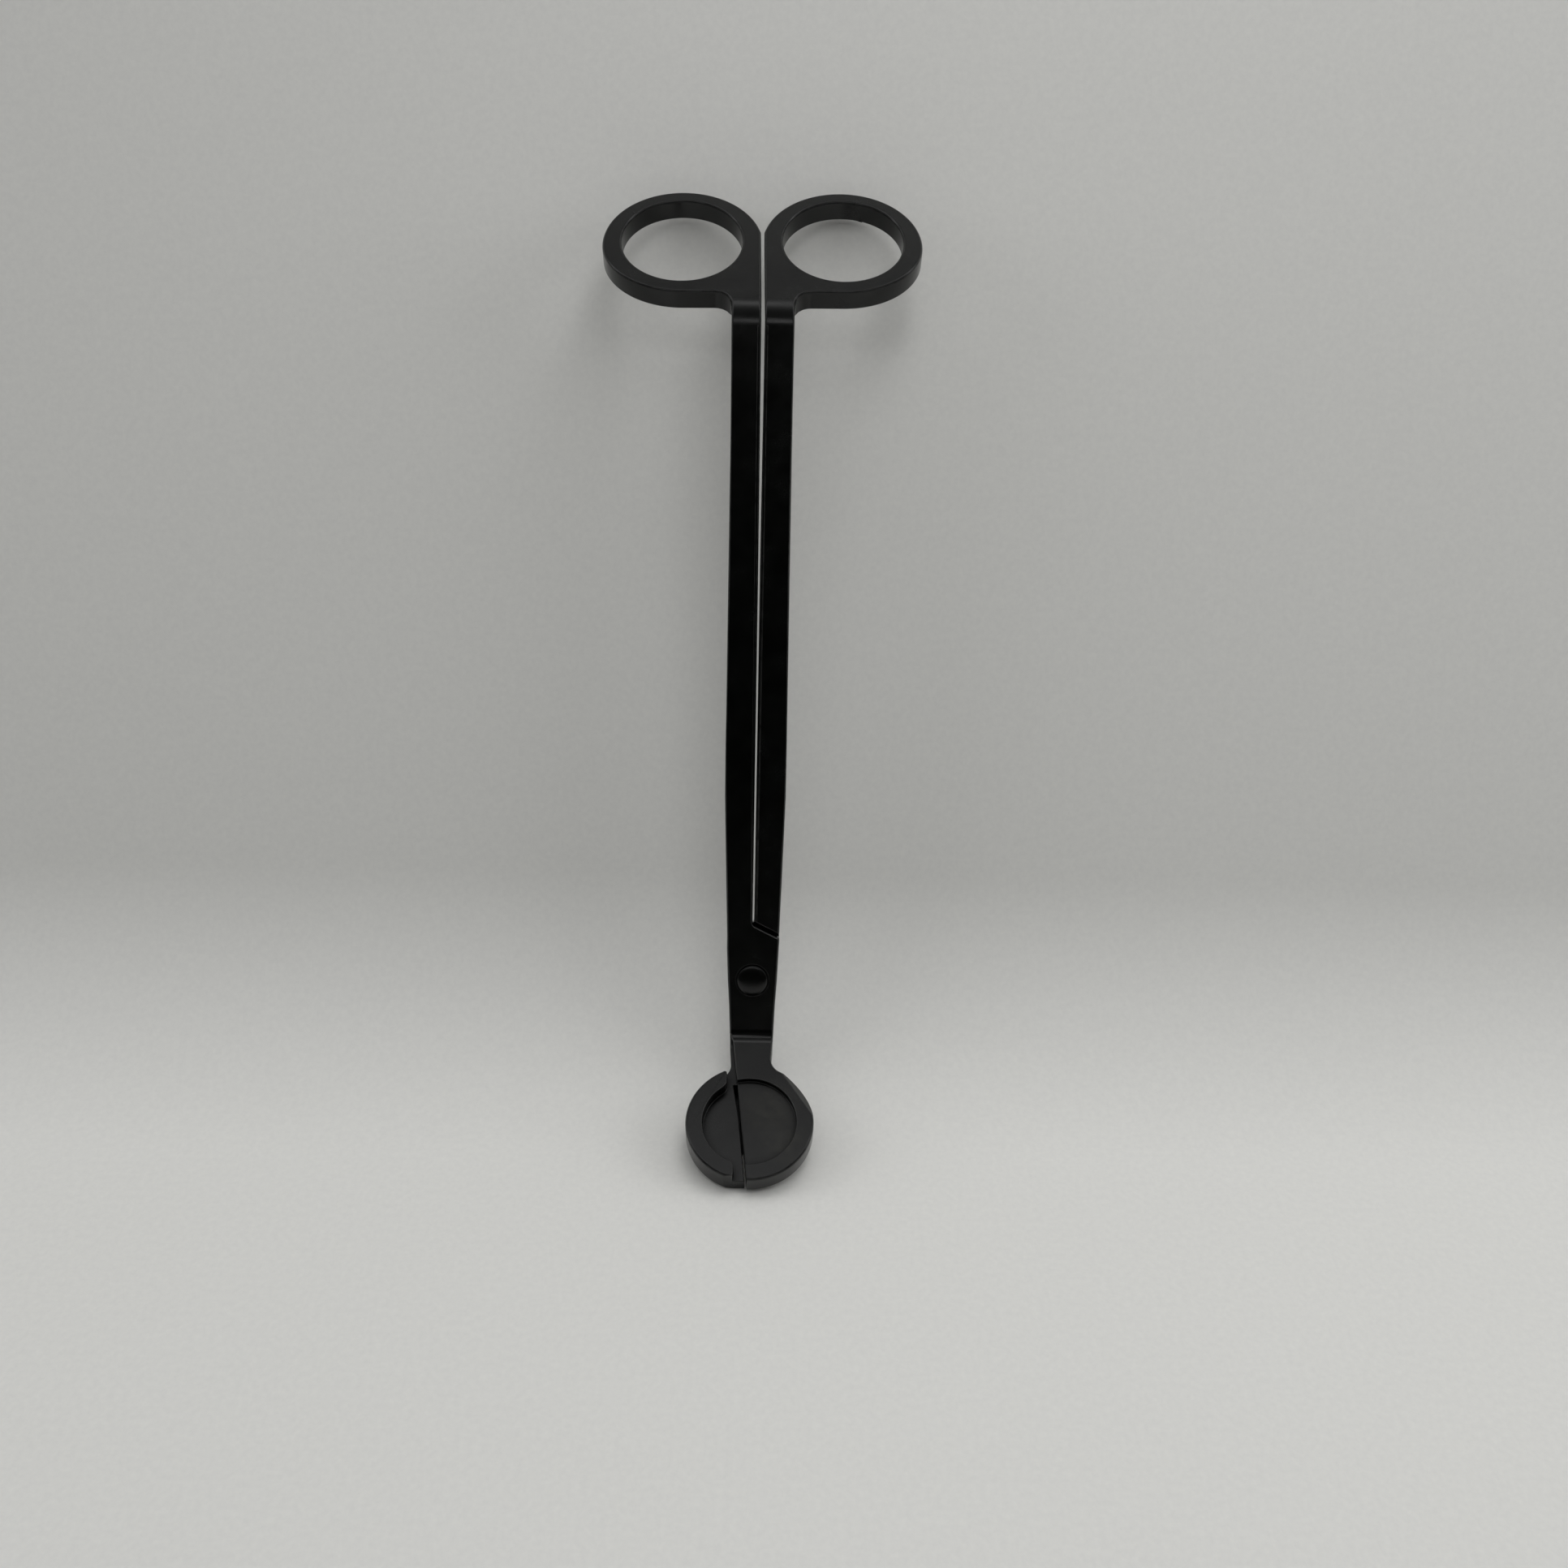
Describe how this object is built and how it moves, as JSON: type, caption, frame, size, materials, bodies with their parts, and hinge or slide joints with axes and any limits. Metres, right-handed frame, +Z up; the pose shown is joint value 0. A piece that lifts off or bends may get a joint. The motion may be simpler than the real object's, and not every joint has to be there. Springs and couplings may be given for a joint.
{
  "type": "wick trimmer",
  "caption": "Long-handled candle wick trimmer: crossed forged steel arms on a rivet, angled finger rings above, and a split round catch tray with a cutting seam below.",
  "frame": {"origin": "bottom centre of the closed tool's bounding box, level with the lowest point of the cutting head's tip", "axes": "+Z up along the tool's rise, -Y towards the front of the cutting head, +X to the right as seen from the front; the shanks lean back 23 degrees from +Z"},
  "size_m": [0.057, 0.1094, 0.1457],
  "materials": {
    "front_arm_coat": "satin black coated steel",
    "back_arm_coat": "satin black coated steel",
    "rivet_coat": "satin black coated steel, a little glossier"
  },
  "bodies": {
    "front_half": {"front_arm": "front_arm_coat", "pivot_rivet": "rivet_coat"},
    "back_half": {"back_arm": "back_arm_coat"}
  },
  "joints": [
    {"name": "pivot", "type": "hinge", "parent": "front_half", "child": "back_half", "pos_m": [0.00036, -0.02082, 0.02178], "axis": [0, 0.9205, -0.3907], "range_deg": [0, 30]}
  ]
}
